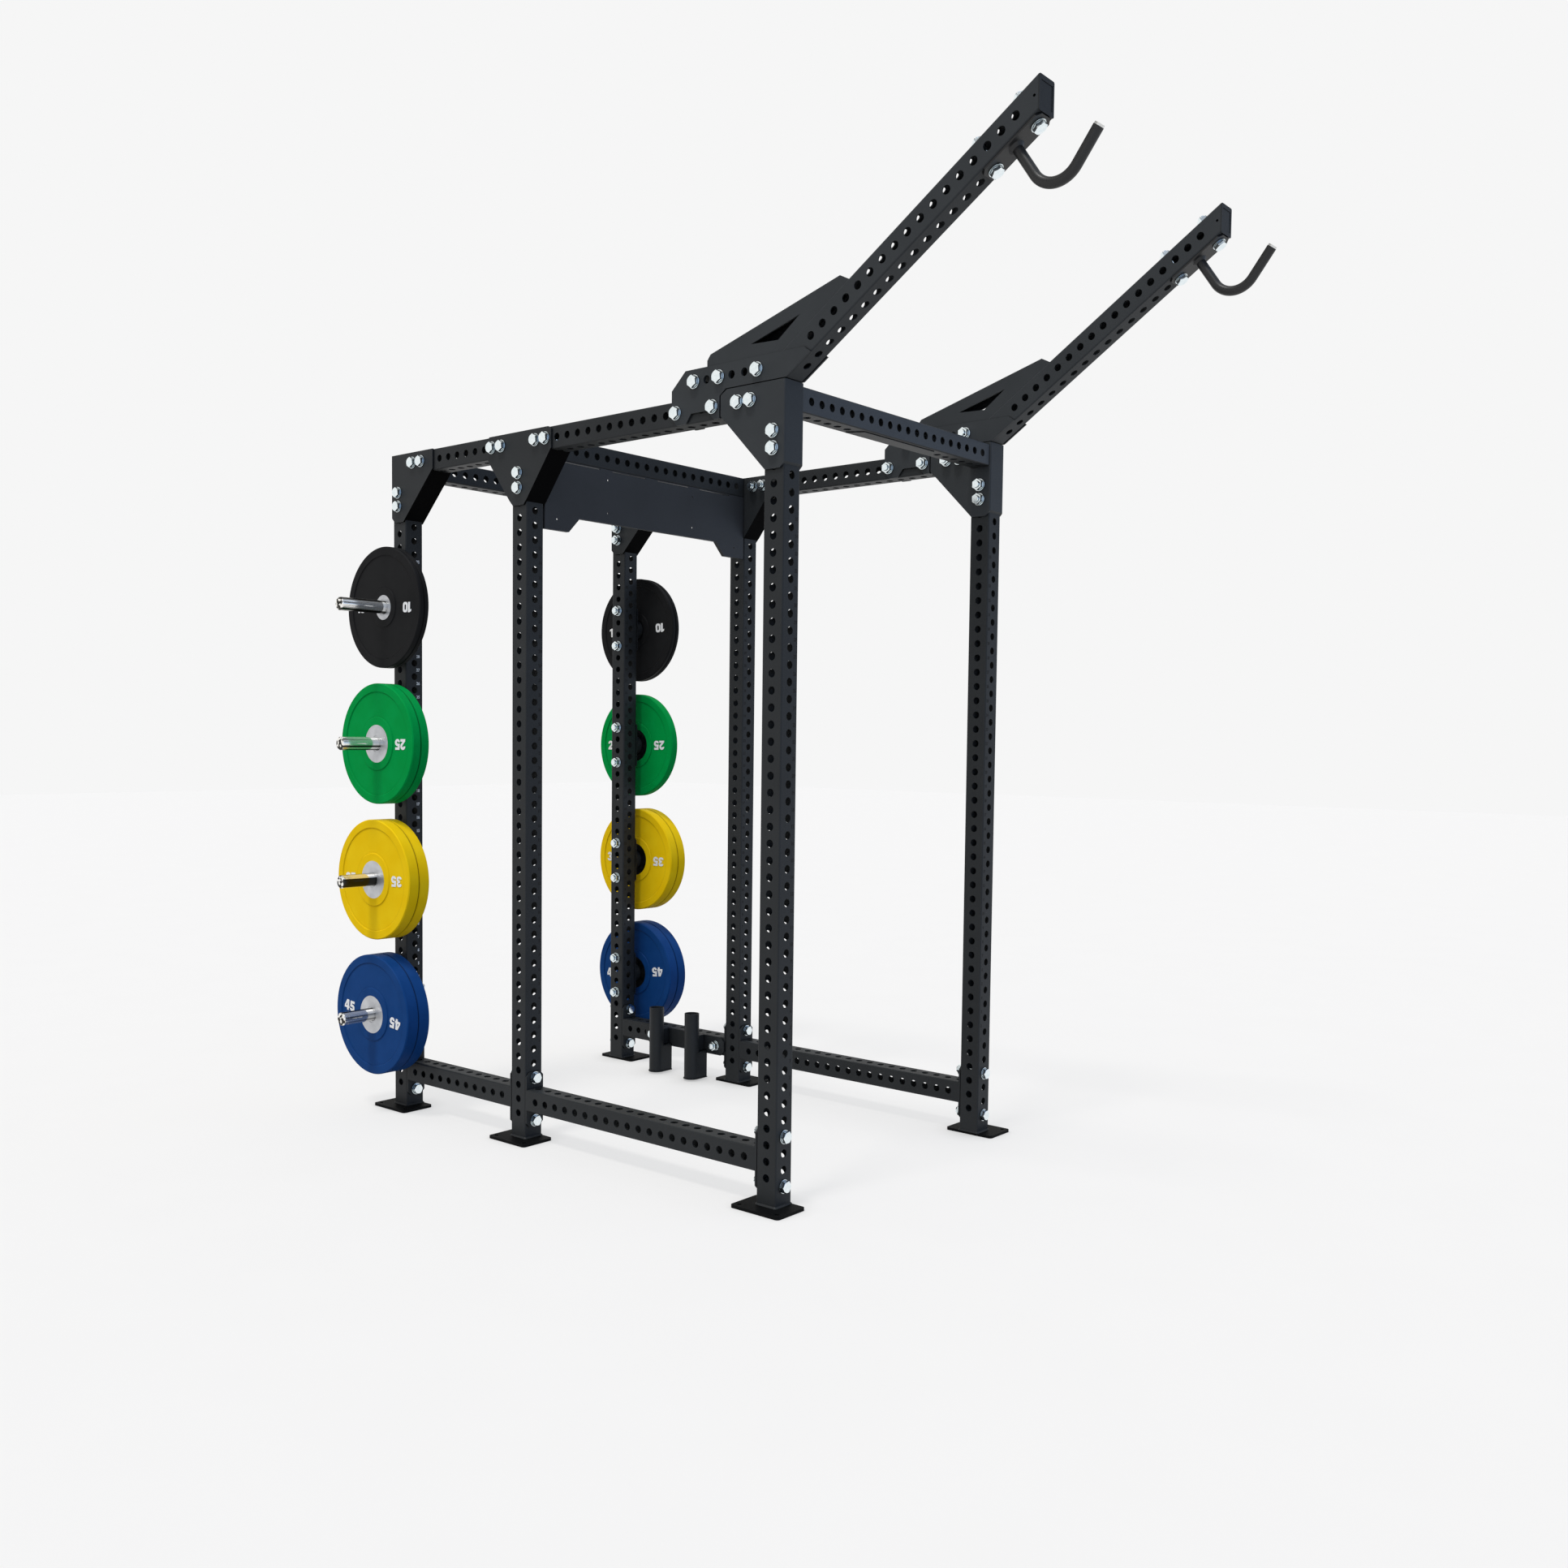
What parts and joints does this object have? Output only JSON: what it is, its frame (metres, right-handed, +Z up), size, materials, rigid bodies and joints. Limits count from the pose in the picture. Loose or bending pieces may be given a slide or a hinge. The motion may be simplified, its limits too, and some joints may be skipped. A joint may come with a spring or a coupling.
{
  "type": "power rack",
  "caption": "Black bolted power rack of holed square posts and beams, with gusseted corners, raised arms with hooks, weight plates on side pegs and an upright bar holder.",
  "frame": {"origin": "on the floor, midway between the four corner posts", "axes": "+X to the right as seen from the front, +Y to the back (the plate storage side), +Z up; the raised arms point to -Y"},
  "size_m": [1.7472, 3.0787, 3.1196],
  "materials": {
    "frame_black": "matte textured black powder coat",
    "zinc_steel": "bright zinc plate",
    "chrome": "polished; the base plate and collar are powder coated black",
    "disc_blue": "satin moulded rubber, steel hub",
    "disc_yellow": "satin moulded rubber, steel hub",
    "disc_green": "satin moulded rubber, steel hub",
    "disc_black": "satin moulded rubber, steel hub"
  },
  "bodies": {
    "frame": {"upright_front_left": "frame_black", "upright_middle_left": "frame_black", "upright_rear_left": "frame_black", "upright_front_right": "frame_black", "upright_middle_right": "frame_black", "upright_rear_right": "frame_black", "lower_beam_front_left": "frame_black", "lower_beam_rear_left": "frame_black", "upper_beam_front_left": "frame_black", "upper_beam_rear_left": "frame_black", "lower_beam_front_right": "frame_black", "lower_beam_rear_right": "frame_black", "upper_beam_front_right": "frame_black", "upper_beam_rear_right": "frame_black", "cross_beam_front": "frame_black", "cross_beam_middle": "frame_black", "cross_beam_rear": "frame_black", "gusset_front_left": "frame_black", "gusset_middle_left": "frame_black", "gusset_rear_left": "frame_black", "gusset_front_right": "frame_black", "gusset_middle_right": "frame_black", "gusset_rear_right": "frame_black", "fascia_panel": "frame_black", "cross_beam_strip": "frame_black", "arm_left": "frame_black", "arm_cap_left": "frame_black", "arm_hook_left": "frame_black", "arm_right": "frame_black", "arm_cap_right": "frame_black", "arm_hook_right": "frame_black", "peg_45_left": "chrome", "peg_35_left": "chrome", "peg_25_left": "chrome", "peg_10_left": "chrome", "peg_45_right": "chrome", "peg_35_right": "chrome", "peg_25_right": "chrome", "peg_10_right": "chrome", "bar_holder": "frame_black", "lower_frame_bolts": "zinc_steel", "gusset_bolts": "zinc_steel", "arm_bolts": "zinc_steel", "peg_bolts": "zinc_steel"},
    "disc_45_left_inner": {"plate_45_left_inner": "disc_blue"},
    "disc_45_left_outer": {"plate_45_left_outer": "disc_blue"},
    "disc_35_left_inner": {"plate_35_left_inner": "disc_yellow"},
    "disc_35_left_outer": {"plate_35_left_outer": "disc_yellow"},
    "disc_25_left_inner": {"plate_25_left_inner": "disc_green"},
    "disc_25_left_outer": {"plate_25_left_outer": "disc_green"},
    "disc_10_left_inner": {"plate_10_left_inner": "disc_black"},
    "disc_10_left_outer": {"plate_10_left_outer": "disc_black"},
    "disc_45_right_inner": {"plate_45_right_inner": "disc_blue"},
    "disc_45_right_outer": {"plate_45_right_outer": "disc_blue"},
    "disc_35_right_inner": {"plate_35_right_inner": "disc_yellow"},
    "disc_35_right_outer": {"plate_35_right_outer": "disc_yellow"},
    "disc_25_right_inner": {"plate_25_right_inner": "disc_green"},
    "disc_10_right_inner": {"plate_10_right_inner": "disc_black"},
    "disc_10_right_outer": {"plate_10_right_outer": "disc_black"}
  },
  "joints": [
    {"name": "slide_45_left_inner", "type": "slide", "parent": "frame", "child": "disc_45_left_inner", "axis": [-1, 0, 0], "range_m": [0, 0.24]},
    {"name": "slide_45_left_outer", "type": "slide", "parent": "disc_45_left_inner", "child": "disc_45_left_outer", "axis": [-1, 0, 0], "range_m": [0, 0.191]},
    {"name": "slide_35_left_inner", "type": "slide", "parent": "frame", "child": "disc_35_left_inner", "axis": [-1, 0, 0], "range_m": [0, 0.24]},
    {"name": "slide_35_left_outer", "type": "slide", "parent": "disc_35_left_inner", "child": "disc_35_left_outer", "axis": [-1, 0, 0], "range_m": [0, 0.195]},
    {"name": "slide_25_left_inner", "type": "slide", "parent": "frame", "child": "disc_25_left_inner", "axis": [-1, 0, 0], "range_m": [0, 0.24]},
    {"name": "slide_25_left_outer", "type": "slide", "parent": "disc_25_left_inner", "child": "disc_25_left_outer", "axis": [-1, 0, 0], "range_m": [0, 0.204]},
    {"name": "slide_10_left_inner", "type": "slide", "parent": "frame", "child": "disc_10_left_inner", "axis": [-1, 0, 0], "range_m": [0, 0.24]},
    {"name": "slide_10_left_outer", "type": "slide", "parent": "disc_10_left_inner", "child": "disc_10_left_outer", "axis": [-1, 0, 0], "range_m": [0, 0.22]},
    {"name": "slide_45_right_inner", "type": "slide", "parent": "frame", "child": "disc_45_right_inner", "axis": [1, 0, 0], "range_m": [0, 0.24]},
    {"name": "slide_45_right_outer", "type": "slide", "parent": "disc_45_right_inner", "child": "disc_45_right_outer", "axis": [1, 0, 0], "range_m": [0, 0.191]},
    {"name": "slide_35_right_inner", "type": "slide", "parent": "frame", "child": "disc_35_right_inner", "axis": [1, 0, 0], "range_m": [0, 0.24]},
    {"name": "slide_35_right_outer", "type": "slide", "parent": "disc_35_right_inner", "child": "disc_35_right_outer", "axis": [1, 0, 0], "range_m": [0, 0.195]},
    {"name": "slide_25_right_inner", "type": "slide", "parent": "frame", "child": "disc_25_right_inner", "axis": [1, 0, 0], "range_m": [0, 0.24]},
    {"name": "slide_10_right_inner", "type": "slide", "parent": "frame", "child": "disc_10_right_inner", "axis": [1, 0, 0], "range_m": [0, 0.24]},
    {"name": "slide_10_right_outer", "type": "slide", "parent": "disc_10_right_inner", "child": "disc_10_right_outer", "axis": [1, 0, 0], "range_m": [0, 0.22]}
  ]
}
